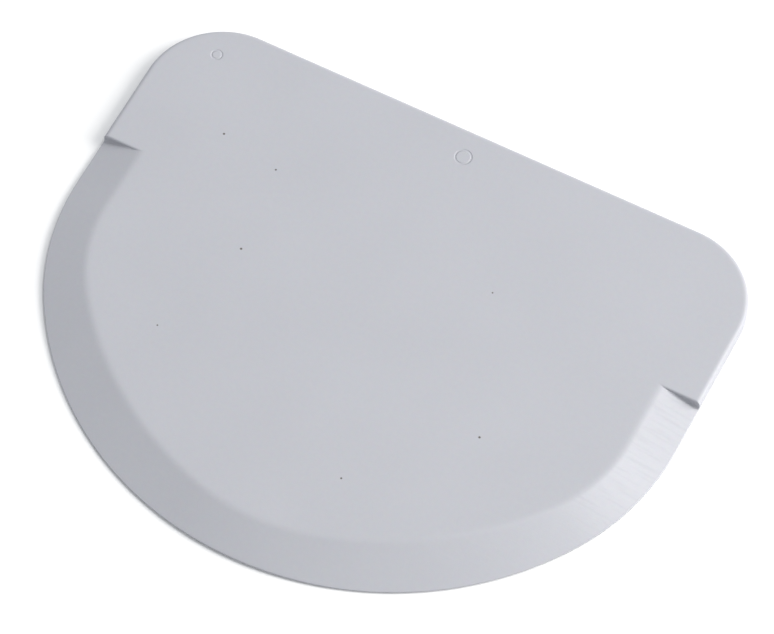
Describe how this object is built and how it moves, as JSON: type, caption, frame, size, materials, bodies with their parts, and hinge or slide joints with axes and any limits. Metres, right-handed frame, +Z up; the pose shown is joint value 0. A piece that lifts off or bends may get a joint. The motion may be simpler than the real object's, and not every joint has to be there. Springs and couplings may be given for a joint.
{
  "type": "bowl scraper",
  "caption": "D-shaped flat plastic bowl scraper with a straight back edge and a long curved edge thinned by a one-sided bevel that ends in a small step on each side.",
  "frame": {"origin": "centre of the plan on the underside", "axes": "+X along the straight back edge, +Y towards the back edge, +Z up through the bevelled face"},
  "size_m": [0.15, 0.12, 0.003],
  "materials": {
    "plastic": "fine matte moulded grain on the faces, smoother on the bevel"
  },
  "bodies": {
    "root": {"scraper": "plastic"}
  },
  "joints": []
}
